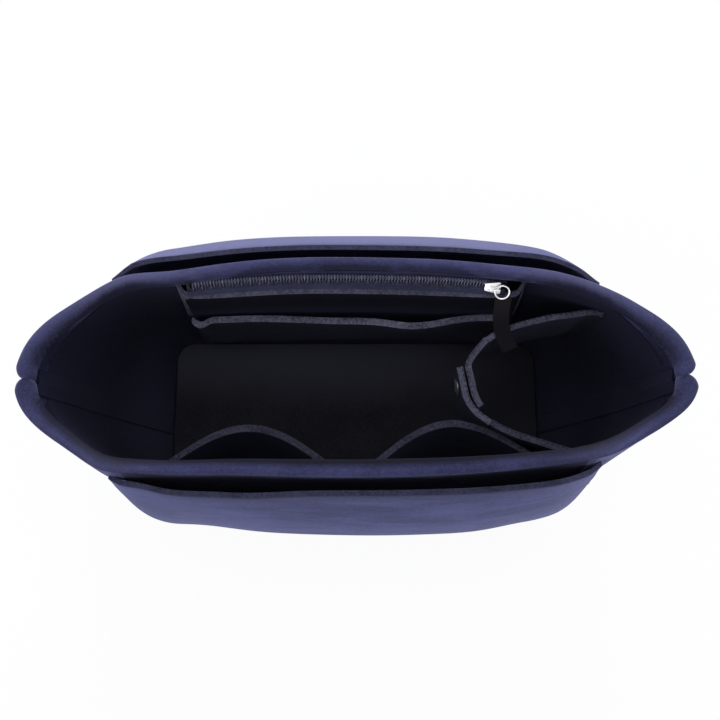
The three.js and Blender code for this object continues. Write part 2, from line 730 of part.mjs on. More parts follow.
buildBase();
buildWalls();
buildSeamTapes();
buildOuterPocket("front_outer_pocket", frontWall, frontGape, frontBelly, frontBellySkew);
buildOuterPocket("back_outer_pocket", backWall, backGape, backBelly, backBellySkew);
buildBackPockets();
buildTapes();
buildChain();
buildSlider();
buildPull();
buildRibbon();
buildGapingPocket("left_gaping_pocket", leftPocketX, gapeSeamX - layerGap, leftPocketGape);
buildGapingPocket("right_gaping_pocket", gapeSeamX + layerGap, rightPocketX, rightPocketGape);
buildBottleHolder();

export default organiser;
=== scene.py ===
# A padded felt insert for a handbag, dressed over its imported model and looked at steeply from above.
import math

import bmesh
import bpy
from mathutils import Matrix, Vector, kdtree, noise
from mathutils.bvhtree import BVHTree


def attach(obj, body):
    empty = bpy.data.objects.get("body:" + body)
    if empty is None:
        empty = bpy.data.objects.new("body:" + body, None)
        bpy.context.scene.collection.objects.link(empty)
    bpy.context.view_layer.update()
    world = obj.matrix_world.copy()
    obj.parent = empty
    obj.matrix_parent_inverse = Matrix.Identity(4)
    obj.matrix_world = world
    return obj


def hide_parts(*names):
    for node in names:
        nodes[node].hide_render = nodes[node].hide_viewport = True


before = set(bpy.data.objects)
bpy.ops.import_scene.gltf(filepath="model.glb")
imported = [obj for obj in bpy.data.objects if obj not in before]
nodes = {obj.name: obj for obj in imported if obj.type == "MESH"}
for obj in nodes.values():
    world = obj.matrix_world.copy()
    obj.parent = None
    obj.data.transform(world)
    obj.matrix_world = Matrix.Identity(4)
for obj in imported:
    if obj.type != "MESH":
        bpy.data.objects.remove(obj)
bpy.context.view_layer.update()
MM = 0.001

# ---- The view -------------------------------------------------------------------------------------------
# The insert stands open on a table and is seen from above its front edge, from about arm's length.
view_aim = Vector((0, 0, 148)) * MM
view_distance = 475 * MM
view_elevation = math.radians(78)
picture_width = 720
sight_x, sight_y = 355.5, 380.5  # where the aim falls in the picture, in pixels

camera = bpy.data.cameras.new("camera")
camera.lens = 45
camera.sensor_width = 36
camera.clip_start = 0.01
camera.shift_x = (picture_width / 2 - sight_x) / picture_width
camera.shift_y = (sight_y - picture_width / 2) / picture_width
viewer = bpy.data.objects.new("camera", camera)
away = Vector((0, -math.cos(view_elevation), math.sin(view_elevation)))
viewer.location = view_aim + view_distance * away
viewer.rotation_euler = (math.pi / 2 - view_elevation, 0, 0)
bpy.context.scene.collection.objects.link(viewer)
bpy.context.scene.camera = viewer

# ---- The studio -----------------------------------------------------------------------------------------
# A white sweep with large soft lamps low in front and behind and a weaker one overhead, as in a light tent.
# They make a white card look white, and no brighter, and leave the inside of the insert dark.
bpy.context.scene.view_settings.view_transform = "Standard"


def new_node(tree, kind, **settings):
    """A node with its settings: a property by its name, an input by its name with spaces as underscores."""
    made = tree.nodes.new(kind)
    for name, value in settings.items():
        if hasattr(made, name):
            setattr(made, name, value)
        else:
            made.inputs[name.replace("_", " ")].default_value = value
    return made


def studio_world():
    world = bpy.data.worlds.new("studio")
    world.use_nodes = True
    tree = world.node_tree
    tree.nodes.clear()
    sky = new_node(tree, "ShaderNodeBackground", Color=(0.93, 0.95, 1, 1), Strength=0.5)
    white = new_node(tree, "ShaderNodeBackground", Color=(1, 1, 1, 1), Strength=1)
    path = new_node(tree, "ShaderNodeLightPath")
    seen = new_node(tree, "ShaderNodeMath", operation="MAXIMUM")
    seen_or_through = new_node(tree, "ShaderNodeMath", operation="MAXIMUM")
    mix = new_node(tree, "ShaderNodeMixShader")
    out = new_node(tree, "ShaderNodeOutputWorld")
    tree.links.new(path.outputs["Is Camera Ray"], seen.inputs[0])
    tree.links.new(path.outputs["Is Glossy Ray"], seen.inputs[1])
    tree.links.new(seen.outputs[0], seen_or_through.inputs[0])
    tree.links.new(path.outputs["Is Transmission Ray"], seen_or_through.inputs[1])
    tree.links.new(seen_or_through.outputs[0], mix.inputs[0])
    tree.links.new(sky.outputs[0], mix.inputs[1])
    tree.links.new(white.outputs[0], mix.inputs[2])
    tree.links.new(mix.outputs[0], out.inputs[0])
    bpy.context.scene.world = world


def lamp(name, place, aim, size, power):
    light = bpy.data.lights.new(name, "AREA")
    light.shape = "DISK"
    light.size = size
    light.energy = power
    obj = bpy.data.objects.new(name, light)
    obj.location = place
    obj.rotation_euler = (Vector(aim) - Vector(place)).to_track_quat("-Z", "Y").to_euler()
    bpy.context.scene.collection.objects.link(obj)


studio_world()
lamp("overhead_lamp", (0.1, 0.2, 1.5), (0, 0, 0.1), 1.1, 5)
lamp("front_lamp", (-0.95, -1.15, 0.7), (0, 0, 0.05), 0.9, 9)
lamp("back_lamp", (0.1, 1.3, 0.6), (0, 0, 0.1), 0.9, 15)


def studio_floor():
    bm = bmesh.new()
    bmesh.ops.create_grid(bm, x_segments=1, y_segments=1, size=3)
    mesh = bpy.data.meshes.new("floor")
    bm.to_mesh(mesh)
    floor = bpy.data.objects.new("floor", mesh)
    floor.location.z = -0.1 * MM
    bpy.context.scene.collection.objects.link(floor)
    material = bpy.data.materials.new("white_table")
    material.use_nodes = True
    tree = material.node_tree
    paper = tree.nodes["Principled BSDF"]
    paper.inputs["Base Color"].default_value = (0.9, 0.9, 0.9, 1)
    paper.inputs["Roughness"].default_value = 0.9
    glow = new_node(tree, "ShaderNodeEmission", Color=(1, 1, 1, 1), Strength=1)
    path = new_node(tree, "ShaderNodeLightPath")
    share = new_node(tree, "ShaderNodeMath", operation="MULTIPLY")
    share.inputs[1].default_value = 0.94
    mix = new_node(tree, "ShaderNodeMixShader")
    tree.links.new(path.outputs["Is Camera Ray"], share.inputs[0])
    tree.links.new(share.outputs[0], mix.inputs[0])
    tree.links.new(paper.outputs[0], mix.inputs[1])
    tree.links.new(glow.outputs[0], mix.inputs[2])
    tree.links.new(mix.outputs[0], tree.nodes["Material Output"].inputs[0])
    mesh.materials.append(material)


studio_floor()

# ---- Walls ----------------------------------------------------------------------------------------------
# Each wall is pressed polyester felt folded over thin wadding. The fold makes a soft roll round the mouth,
# and the two walls are sewn together at the ends, where their rims meet in blunt lips.


def srgb(red, green, blue):
    """A colour as it looks, 0 to 255, as the linear values that a shader takes."""
    def linear(v):
        v /= 255
        return v / 12.92 if v <= 0.04045 else ((v + 0.055) / 1.055) ** 2.4
    return (linear(red), linear(green), linear(blue), 1)


def new_group(name, inputs, outputs):
    tree = bpy.data.node_groups.new(name, "ShaderNodeTree")
    for label, kind, value in inputs:
        socket = tree.interface.new_socket(label, in_out="INPUT", socket_type=kind)
        if value is not None:
            socket.default_value = value
    for label, kind in outputs:
        tree.interface.new_socket(label, in_out="OUTPUT", socket_type=kind)
    return tree, tree.nodes.new("NodeGroupInput"), tree.nodes.new("NodeGroupOutput")


def make_felt_group():
    """Matted fibres: a fine tangle, strands that catch the light, slow blotches and brushed streaks."""
    tree, given, out = new_group(
        "felt_fibres",
        [("Vector", "NodeSocketVector", None), ("Fineness", "NodeSocketFloat", 1.0)],
        [("Tangle", "NodeSocketFloat"), ("Blotch", "NodeSocketFloat"), ("Streak", "NodeSocketFloat"),
         ("Height", "NodeSocketFloat")],
    )
    scaled = new_node(tree, "ShaderNodeVectorMath", operation="SCALE")
    tree.links.new(given.outputs["Vector"], scaled.inputs[0])
    tree.links.new(given.outputs["Fineness"], scaled.inputs["Scale"])
    fine = new_node(tree, "ShaderNodeTexNoise", Scale=560, Detail=6, Roughness=0.75)
    blotch = new_node(tree, "ShaderNodeTexNoise", Scale=38, Detail=3, Roughness=0.55)
    streak = new_node(tree, "ShaderNodeTexNoise", Scale=1, Detail=3, Roughness=0.6, Distortion=0.4)
    brushed = new_node(tree, "ShaderNodeVectorMath", operation="MULTIPLY")
    brushed.inputs[1].default_value = (22, 22, 90)
    tree.links.new(given.outputs["Vector"], brushed.inputs[0])
    tree.links.new(brushed.outputs[0], streak.inputs["Vector"])
    tree.links.new(streak.outputs["Fac"], out.inputs["Streak"])
    for texture in (fine, blotch):
        tree.links.new(scaled.outputs[0], texture.inputs["Vector"])
    tangle = fine.outputs["Fac"]
    for thickness, twist, shift in ((260, 3.0, 0), (430, 2.2, 7), (700, 1.6, 13)):
        moved = new_node(tree, "ShaderNodeVectorMath", operation="ADD")
        moved.inputs[1].default_value = (shift, 2 * shift, 3 * shift)
        swirl = new_node(tree, "ShaderNodeTexNoise", Scale=thickness, Detail=1, Distortion=twist)
        level = new_node(tree, "ShaderNodeMath", operation="SUBTRACT")
        level.inputs[1].default_value = 0.5
        gap = new_node(tree, "ShaderNodeMath", operation="ABSOLUTE")
        fibre = new_node(tree, "ShaderNodeMapRange")
        fibre.inputs["From Max"].default_value = 0.03
        fibre.inputs["To Min"].default_value = 0.28
        fibre.inputs["To Max"].default_value = 0
        added = new_node(tree, "ShaderNodeMath", operation="ADD")
        tree.links.new(scaled.outputs[0], moved.inputs[0])
        tree.links.new(moved.outputs[0], swirl.inputs["Vector"])
        tree.links.new(swirl.outputs["Fac"], level.inputs[0])
        tree.links.new(level.outputs[0], gap.inputs[0])
        tree.links.new(gap.outputs[0], fibre.inputs["Value"])
        tree.links.new(fibre.outputs[0], added.inputs[0])
        tree.links.new(tangle, added.inputs[1])
        tangle = added.outputs[0]
    tree.links.new(tangle, out.inputs["Height"])
    tree.links.new(tangle, out.inputs["Tangle"])
    tree.links.new(blotch.outputs["Fac"], out.inputs["Blotch"])
    return tree


felt_group = make_felt_group()


def felt_material(name, dark, light, fineness=1.0, contrast=(0.3, 1.05), bump=0.3, sheen=0.25, streaks=0.3,
                  turns=(), marks=()):
    """Felt of one colour: dark between the fibres, light on them. turns are further colours painted in from one
    place to another along an axis, and marks are colours laid on by attributes of the mesh. Here both are used
    for painted light and shade."""
    material = bpy.data.materials.new(name)
    material.use_nodes = True
    tree = material.node_tree
    shader = tree.nodes["Principled BSDF"]
    shader.inputs["Roughness"].default_value = 0.95
    shader.inputs["Specular IOR Level"].default_value = 0.2
    shader.inputs["Sheen Weight"].default_value = sheen
    shader.inputs["Sheen Roughness"].default_value = 0.5
    shader.inputs["Sheen Tint"].default_value = (0.55, 0.57, 1, 1)
    coords = new_node(tree, "ShaderNodeTexCoord")
    fibres = new_node(tree, "ShaderNodeGroup", node_tree=felt_group)
    fibres.inputs["Fineness"].default_value = fineness
    tree.links.new(coords.outputs["Object"], fibres.inputs["Vector"])
    spread = new_node(tree, "ShaderNodeMapRange")
    spread.inputs["From Min"].default_value, spread.inputs["From Max"].default_value = contrast
    tree.links.new(fibres.outputs["Tangle"], spread.inputs["Value"])
    total = spread.outputs[0]
    for slow, reach in (("Blotch", 0.18), ("Streak", streaks)):
        shift = new_node(tree, "ShaderNodeMapRange")
        shift.inputs["From Min"].default_value = 0.3
        shift.inputs["From Max"].default_value = 0.7
        shift.inputs["To Min"].default_value = -reach
        shift.inputs["To Max"].default_value = reach
        tree.links.new(fibres.outputs[slow], shift.inputs["Value"])
        added = new_node(tree, "ShaderNodeMath", operation="ADD", use_clamp=True)
        tree.links.new(total, added.inputs[0])
        tree.links.new(shift.outputs[0], added.inputs[1])
        total = added.outputs[0]
    ramp = new_node(tree, "ShaderNodeMix", data_type="RGBA")
    ramp.inputs["A"].default_value = dark
    ramp.inputs["B"].default_value = light
    tree.links.new(total, ramp.inputs["Factor"])
    colour = ramp.outputs["Result"]
    masks = []
    for tone, axis, low, high in turns:
        split = new_node(tree, "ShaderNodeSeparateXYZ")
        rise = new_node(tree, "ShaderNodeMapRange", interpolation_type="SMOOTHSTEP")
        rise.inputs["From Min"].default_value = low * MM
        rise.inputs["From Max"].default_value = high * MM
        tree.links.new(coords.outputs["Object"], split.inputs[0])
        tree.links.new(split.outputs[axis], rise.inputs["Value"])
        masks.append((rise.outputs[0], tone))
    for attribute, tone in marks:
        mark = new_node(tree, "ShaderNodeAttribute", attribute_name=attribute)
        masks.append((mark.outputs["Fac"], tone))
    for mask, tone in masks:
        laid = new_node(tree, "ShaderNodeMix", data_type="RGBA")
        laid.inputs["B"].default_value = tone
        tree.links.new(mask, laid.inputs["Factor"])
        tree.links.new(colour, laid.inputs["A"])
        colour = laid.outputs["Result"]
    tree.links.new(colour, shader.inputs["Base Color"])
    waves = new_node(tree, "ShaderNodeBump", Strength=0.9 * min(streaks, 0.3), Distance=0.0015)
    relief = new_node(tree, "ShaderNodeBump", Strength=bump, Distance=0.0005)
    tree.links.new(fibres.outputs["Streak"], waves.inputs["Height"])
    tree.links.new(waves.outputs[0], relief.inputs["Normal"])
    tree.links.new(fibres.outputs["Height"], relief.inputs["Height"])
    tree.links.new(relief.outputs[0], shader.inputs["Normal"])
    return material


navy = (srgb(32, 34, 68), srgb(68, 70, 116))
# The colour of the painted highlight on the outer pockets.
highlight_navy = srgb(98, 100, 134)
navy_sheen = 0.42
navy_felt = felt_material("navy_felt", *navy, sheen=navy_sheen, streaks=0.42)
# On the rim, the first mark is painted shade, over the inner half of the roll and in the slot behind each outer
# pocket. The second is a pale line of painted highlight, with a little wear, along the outer corner and on the
# rim's top near its ends.
rim_light_marks = (("inside", srgb(9, 10, 19)), ("fold", srgb(112, 112, 150)))
# Three copies of the rim felt with less and less sheen, for the faces under more and more painted shade.
rim_felts = [
    felt_material(name, srgb(32, 33, 61), srgb(64, 65, 107), sheen=shine, streaks=0.3, marks=rim_light_marks)
    for name, shine in (("rim_felt", navy_sheen), ("rim_felt_turning", 0.2), ("rim_felt_inner", 0.02))
]
# The wall lining is painted lighter towards the rim and towards the floor: painted light.
wall_lining_felt = felt_material(
    "wall_lining_felt", srgb(17, 18, 30), srgb(33, 34, 53), sheen=0.03, streaks=0,
    turns=((srgb(32, 33, 54), "Z", 90, 140), (srgb(44, 45, 65), "Z", 80, 25)),
)
# The floor lining is painted lighter towards the back, and evened out again towards the right end: painted light
# and shade.
floor_lining_felt = felt_material(
    "floor_lining_felt", srgb(22, 22, 28), srgb(42, 42, 52), sheen=0.05, streaks=0,
    turns=((srgb(74, 74, 88), "Y", 4, 62), (srgb(34, 34, 42), "X", 10, 150)),
)
inner_felt = felt_material("inner_felt", srgb(7, 8, 15), srgb(18, 20, 33), sheen=0.06, streaks=0.1)
arch_felt = felt_material("arch_felt", srgb(10, 12, 21), srgb(24, 26, 43), sheen=0.06, streaks=0.1)
# Three copies of one cut felt, lighter and darker, each given to the pieces by how much light reaches them:
# painted light and shade.
cut_felts = {}
for tone_name, shade, shine in (
    ("well_lit", srgb(62, 61, 80), srgb(180, 178, 208)),
    ("half_lit", srgb(46, 46, 61), srgb(132, 131, 156)),
    ("in_shade", srgb(30, 30, 42), srgb(94, 93, 115)),
):
    cut_felts[tone_name] = felt_material(
        f"cut_felt_{tone_name}", shade, shine, fineness=1.1, contrast=(0.35, 1.0), bump=0.9, sheen=0.1, streaks=0
    )
cut_navy_felt = felt_material(
    "cut_navy_felt", srgb(30, 31, 48), srgb(86, 87, 118), fineness=1.4, contrast=(0.35, 1.0), bump=0.8, sheen=0.1,
    streaks=0,
)


def quads_of(node):
    """A CAD node's shape as a bmesh of clean four-sided faces."""
    bm = bmesh.new()
    bm.from_mesh(nodes[node].data)
    bmesh.ops.remove_doubles(bm, verts=bm.verts, dist=0.01 * MM)
    bmesh.ops.join_triangles(
        bm, faces=bm.faces, angle_face_threshold=math.radians(40), angle_shape_threshold=math.radians(60)
    )
    return bm


def step(value, low, high):
    """Rises smoothly from 0 at low to 1 at high."""
    share = min(max((value - low) / (high - low), 0), 1)
    return share * share * (3 - 2 * share)


# Where handling has pushed the walls: front -1 or back 1, place along and height, reach along and in height,
# and how far out (all in mm).
handled = (
    (-1, -110, 150, 38, 45, 4.4),
    (-1, -131, 145, 15, 60, 3.4),
    (-1, -90, 55, 26, 40, -4.5),
    (-1, -113, 92, 20, 26, 1.6),
    (-1, 155, 150, 19, 50, -3.2),
    (-1, 102, 70, 26, 50, -3),
    (1, -124, 145, 18, 50, 3.6),
    (1, 105, 150, 24, 60, 1.8),
)


noise.seed_set(98)  # the wander's place in the noise is otherwise drawn from the clock


def settled(p):
    """Felt is never quite even: the insert wanders by a few tenths of a millimetre, and it has been handled."""
    x, y, z = p / MM
    move = Vector((0.5, 1, 0.3)) * noise.noise_vector(p / (70 * MM)) * 0.9
    for side, along, height, wide, tall, out in handled:
        weight = step(side * y, 4, 26)
        move.y += side * out * weight * math.exp(-((x - along) / wide) ** 2 - ((z - height) / tall) ** 2)
    high = step(z, 40, 140)
    lip = min(abs(y) / 7, 1) ** 0.6  # an end seam holds the felt, and a lip stands out on each side of it
    push = (1.9 if y > 0 else 2.2) if x < 0 else (2.4 if y > 0 else 3.6)
    move.x += math.copysign(push * step(abs(x), 150, 176) * lip, x) * high
    move.y += (1.6 if x < 0 else 3.6) * step(abs(x), 150, 178) * high * (1 - 0.75 * step(y, 0, 14))
    return p + move * MM


def object_from(bm, name, *materials):
    mesh = bpy.data.meshes.new(name)
    bm.to_mesh(mesh)
    bm.free()
    obj = bpy.data.objects.new(name, mesh)
    for material in materials:
        mesh.materials.append(material)
    bpy.context.scene.collection.objects.link(obj)
    return obj


def subdivided(bm, levels):
    """The bmesh after Catmull-Clark subdivision."""
    obj = object_from(bm, "rough_form")
    rounder = obj.modifiers.new("round", "SUBSURF")
    rounder.levels = rounder.render_levels = levels
    smooth = bmesh.new()
    smooth.from_object(obj, bpy.context.evaluated_depsgraph_get())
    shape = obj.data
    bpy.data.objects.remove(obj)
    bpy.data.meshes.remove(shape)
    return smooth


def finish_piece(obj, body="body", replaced=(), smooth_below=45):
    obj.data.polygons.foreach_set("use_smooth", [True] * len(obj.data.polygons))
    obj.data.set_sharp_from_angle(angle=math.radians(smooth_below))
    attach(obj, body)
    if replaced:
        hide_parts(*replaced)
    return obj


def is_sharp(edge, angle=50):
    return edge.is_manifold and edge.calc_face_angle(0) > math.radians(angle)


wall_skin = 2.1 * MM  # from the wadding's face to the felt's
foot_level = 2.6 * MM
rim_depth = 18 * MM  # how far below its crest the wadding presses the rim out


mouth_reach = (180, 64)  # about how far the mouth reaches from its middle, along and across, in mm


def outward_at(p):
    """The level direction out through a point of a wall."""
    return Vector((p.x / mouth_reach[0] ** 2, p.y / mouth_reach[1] ** 2, 0)).normalized()


def shape_rim(bm, way, layers):
    """Presses the fold: a flat band on top, a firm outer corner, and the face drawn in below it. drop is how far
    a point lies below the crest, and side is 1 on the outer face and -1 on the inner one."""
    tall = [v for v in bm.verts if v.co.z > 125 * MM]
    corner = []
    for v in tall:
        crest = max(u.co.z for u in tall if (u.co - v.co).xy.length < 9 * MM)
        drop = (crest - v.co.z) / MM
        out = outward_at(v.co)
        side = v.normal.dot(out)
        beside_pocket = 1 - step(abs(v.co.x), 98 * MM, 122 * MM)
        move = Vector()
        if side > 0.1 and 0.3 < drop < 1.6:
            corner.append(v)
            move = Vector((0, 0, 0.5)) - out * 0.8 * beside_pocket
        elif side > 0.1 and 1.6 <= drop < 5:
            move = Vector((0, 0, 0.6)) - out * (0.3 + 2.5 * beside_pocket)
        elif side > 0.1 and 5 <= drop < 24:
            move = -out * 2.6 * beside_pocket
        elif side < -0.1 and drop < 7 and way < 0:
            move = -out * (0.3 + 2.2 * max(0, 1 - (v.co.x / (120 * MM)) ** 2)) - Vector((0, 0, 0.8))
        v[layers["move"]] = move * MM
    along = set(corner)
    for v in corner:
        for e in v.link_edges:
            if e.other_vert(v) in along:
                e[layers["edge"]] = 0.95


def pressed_out(bm):
    """How the rim's felt moves when its wadding presses it out, by a cloth simulation: the rim is free, and all
    that lies lower and the sewn ends are held. Gives back the points at rest, their normals and their moves."""
    felt = object_from(bm, "pressed_felt")
    rest = [(v.co.copy(), v.normal.copy()) for v in felt.data.vertices]
    crest = max(p.z for p, _ in rest)
    held = felt.vertex_groups.new(name="held")
    for i, (p, _) in enumerate(rest):
        weight = max(step(crest - p.z, 10 * MM, 16 * MM), 1 - step(abs(p.y), 1 * MM, 8 * MM))
        if weight:
            held.add([i], weight, "REPLACE")
    cloth = felt.modifiers.new("wadding", "CLOTH").settings
    cloth.vertex_group_mass = "held"
    cloth.use_pressure = True
    cloth.uniform_pressure_force = 4
    cloth.effector_weights.gravity = 0
    cloth.shrink_min = -0.002
    cloth.bending_stiffness = 2
    for frame_number in range(1, 21):
        bpy.context.scene.frame_set(frame_number)
    pressed = felt.evaluated_get(bpy.context.evaluated_depsgraph_get()).to_mesh()
    moves = [v.co - p for v, (p, _) in zip(pressed.vertices, rest)]
    shape = felt.data
    bpy.data.objects.remove(felt)
    bpy.data.meshes.remove(shape)
    bpy.context.scene.frame_set(1)
    return rest, moves


def press_out(bm, rest, moves, most=0.8 * MM):
    """Gives a finer mesh of the same wall the moves of the simulated one, none further than most."""
    crest = max(p.z for p, _ in rest)
    tree = kdtree.KDTree(len(rest))
    for i, (p, _) in enumerate(rest):
        tree.insert(p, i)
    tree.balance()
    for v in bm.verts:
        if v.co.z < crest - rim_depth:
            continue
        move, total = Vector(), 0
        for _, i, gap in tree.find_n(v.co, 8):
            if rest[i][1].dot(v.normal) > 0.3:
                share = 1 / (gap + 0.2 * MM) ** 2
                move += moves[i] * share
                total += share
        if total:
            move /= total
            v.co += move * min(1, most / max(move.length, 1e-9))


def build_wall(side, way):
    """way is -1 for the front wall and 1 for the back wall."""
    bm = quads_of(f"{side}_wall_padding")
    bm.normal_update()
    layers = {"edge": bm.edges.layers.float.new("crease_edge"), "move": bm.verts.layers.float_vector.new("move")}
    shape_rim(bm, way, layers)
    moves = [v.normal * wall_skin * v.calc_shell_factor() + v[layers["move"]] for v in bm.verts]
    cap = [v for v in bm.verts if abs(v.co.y) < 0.6 * MM]
    for v, move in zip(bm.verts, moves):
        v.co += move
        v.co.z = max(v.co.z, foot_level)
    for v in cap:
        v.co.y = -way * 1.2 * MM
    for e in bm.edges:
        if is_sharp(e) and max(v.co.z for v in e.verts) < 10 * MM:
            e[layers["edge"]] = 1
    bm.verts.layers.float_vector.remove(layers["move"])
    simulated = pressed_out(subdivided(bm.copy(), 2))
    bm = subdivided(bm, 3)
    bm.normal_update()
    if simulated:
        press_out(bm, *simulated)
    for v in bm.verts:
        v.co.y = way * max(way * v.co.y, 0.02 * MM)
    bm.normal_update()
    crest = max(v.co.z for v in bm.verts)
    edge_line = {}  # how far out the rim reaches, by the 2 mm along
    for v in bm.verts:
        if crest - v.co.z < 22 * MM:
            place = round(v.co.x / (2 * MM))
            edge_line[place] = max(edge_line.get(place, 0), way * v.co.y)
    # Two marks of painted light on the wall: painted shade over the inner half of the rim and on the face in the
    # slot behind each outer pocket, and a pale line of painted highlight along the outer corner and on the rim's
    # top near its ends.
    fold, inside = bm.verts.layers.float.new("fold"), bm.verts.layers.float.new("inside")
    back = bm.verts.layers.float_vector.new("drawn_back")
    for v in bm.verts:
        out = outward_at(v.co)
        drop = crest - v.co.z
        facing = v.normal.dot(out)
        far = step(abs(v.co.x), 100 * MM, 165 * MM)
        inward = (edge_line.get(round(v.co.x / (2 * MM)), 0) - way * v.co.y) * abs(out.y) / MM
        # The painted shade on the inner half of the rim, deeper on the front wall.
        if way < 0:
            inner = 0.95 * step(inward, 3, 8.5 - 0.4 * far)
        else:
            inner = (0.75 - 0.06 * far) * step(inward, 5 - 0.8 * far, 11 - 0.8 * far)
        inner *= step(-facing, -0.8, -0.3)
        # Painted shade on the outer face from a few millimetres under the crest down, in the slot behind the
        # outer pocket, ending at the pocket's ends.
        behind_pocket_shade = 0.85 * step(facing, 0.5, 0.9) * step(drop, 1.5 * MM, 4 * MM)
        v[inside] = max(inner, behind_pocket_shade * (1 - step(abs(v.co.x), 116 * MM, 131 * MM)))
        bend = max((e.calc_face_angle(0) for e in v.link_edges if e.is_manifold), default=0)
        high = step(v.co.z, crest - 26 * MM, crest - 16 * MM)
        corner = step(bend, math.radians(12), math.radians(30)) * high * step(facing, 0, 0.3)
        # A painted highlight on the top of the rim near its ends, fainter on the front wall.
        top_highlight = step(inward, 1.2, 3.2) * (1 - step(inward, 7, 10.5)) * high
        if way < 0:
            top_highlight *= 0.14 * math.exp(-(((abs(v.co.x) / MM - 130) / 22) ** 2))
        else:
            top_highlight *= 0.27 * math.exp(-(((abs(v.co.x) / MM - 120) / 35) ** 2))
        # The outer corner's pale line is painted highlight with a little wear, strong on the back rim and faint
        # on the front one.
        v[fold] = max((0.05 if way < 0 else 0.8) * corner, top_highlight)
        v[back] = -v.normal * 0.9 * MM * step(-facing, -0.2, 0.3) * step(drop, 18 * MM, 25 * MM)
    for v in bm.verts:
        v.co = settled(v.co + v[back])
    bm.verts.layers.float_vector.remove(back)
    # Faces under more painted shade take a copy of the rim felt with less sheen.
    for f in bm.faces:
        shaded = sum(v[inside] for v in f.verts) / len(f.verts)
        f.material_index = 0 if shaded < 0.3 else 1 if shaded < 0.65 else 2
    wall = object_from(bm, f"{side}_wall", *rim_felts)
    finish_piece(wall, replaced=(f"{side}_wall_shell", f"{side}_wall_padding"))
    return wall


def sides_and_edges(bm):
    """Sorts a sheet's faces into patches bounded by sharp edges: its two sides are the largest, the rest is its
    cut edge and gets the second material. Gives back the two sides."""
    left = set(bm.faces)
    patches = []
    while left:
        seed = left.pop()
        patch, front = {seed}, [seed]
        while front:
            face = front.pop()
            for e in face.edges:
                if is_sharp(e):
                    continue
                for near in e.link_faces:
                    if near in left:
                        left.remove(near)
                        patch.add(near)
                        front.append(near)
        patches.append(patch)
    patches.sort(key=lambda patch: -sum(f.calc_area() for f in patch))
    for patch in patches[2:]:
        for f in patch:
            f.material_index = 1
    return patches[:2]


def outline_of(patch):
    """The points round a patch of faces, in order, on its longest loop. It starts at the same place each time."""
    rim = [e for f in patch for e in f.edges if sum(near in patch for near in e.link_faces) == 1]
    rim.sort(key=lambda e: (e.verts[0].co + e.verts[1].co)[:])
    ways = {}
    for e in rim:
        for v in e.verts:
            ways.setdefault(v, []).append(e)
    loops, used = [], set()
    for e in rim:
        if e in used:
            continue
        used.add(e)
        loop = sorted(e.verts, key=lambda v: v.co[:])
        while True:
            onward = [n for n in ways[loop[-1]] if n not in used]
            if not onward:
                break
            used.add(onward[0])
            loop.append(onward[0].other_vert(loop[-1]))
        loops.append([v.co.copy() for v in loop])
    return max(loops, key=lambda loop: sum((a - b).length for a, b in zip(loop, loop[1:])))


outlines = {}  # the outline of each sheet's sewn side, for its stitches


def build_sheet(name, node, materials, levels=3, body="body",
                area=None, edge=0.35, sewn=(0, -1, 0), adjust=None, joined_at=None, swell=0):
    """A felt sheet with its cut edges, dressed over its CAD solid. sewn is the way that its seen side faces,
    joined_at is the bend where it runs on into the next length of the same strap, and swell is how far the felt
    spreads, in mm, along a cut edge that looks up."""
    bm = quads_of(node)
    layer = bm.edges.layers.float.get("crease_edge") or bm.edges.layers.float.new("crease_edge")
    for e in bm.edges:
        if is_sharp(e):
            e[layer] = 1
    bm = subdivided(bm, levels)
    for v in bm.verts:
        v.co = settled(adjust(v.co) if adjust else v.co)
    bm.normal_update()
    sides = sides_and_edges(bm)
    seen = max(
        sides, key=lambda patch: sum((f.normal * f.calc_area() for f in patch), Vector()).dot(Vector(sewn))
    )
    outlines[name] = outline_of(seen)
    sharp = [e for e in bm.edges if is_sharp(e)]
    spread = {}
    for e in sharp:
        for cut, side in (e.link_faces, reversed(e.link_faces)):
            if cut.material_index == 1 and side.material_index == 0 and cut.normal.z > 0.4:
                spread.update({v: side.normal * swell * MM for v in e.verts})
    for v, move in spread.items():
        v.co += move
    if joined_at:
        bend = Vector(joined_at) * MM
        sharp = [e for e in sharp if min((v.co.xy - bend).length for v in e.verts) > 3.2 * MM]
    bmesh.ops.bevel(
        bm, geom=sharp, offset=edge * MM, segments=2, affect="EDGES", profile=0.5, material=-1, clamp_overlap=True
    )
    piece = object_from(bm, name, *materials)
    finish_piece(piece, body, (node,))
    return piece


threads = {}
for thread_name, shade, shine in (
    ("navy_thread", srgb(84, 86, 124), srgb(112, 114, 150)),
    ("dark_thread", srgb(18, 19, 28), srgb(36, 37, 50)),
):
    threads[thread_name] = felt_material(thread_name, shade, shine, fineness=2, bump=0.15, sheen=0.1, streaks=0)


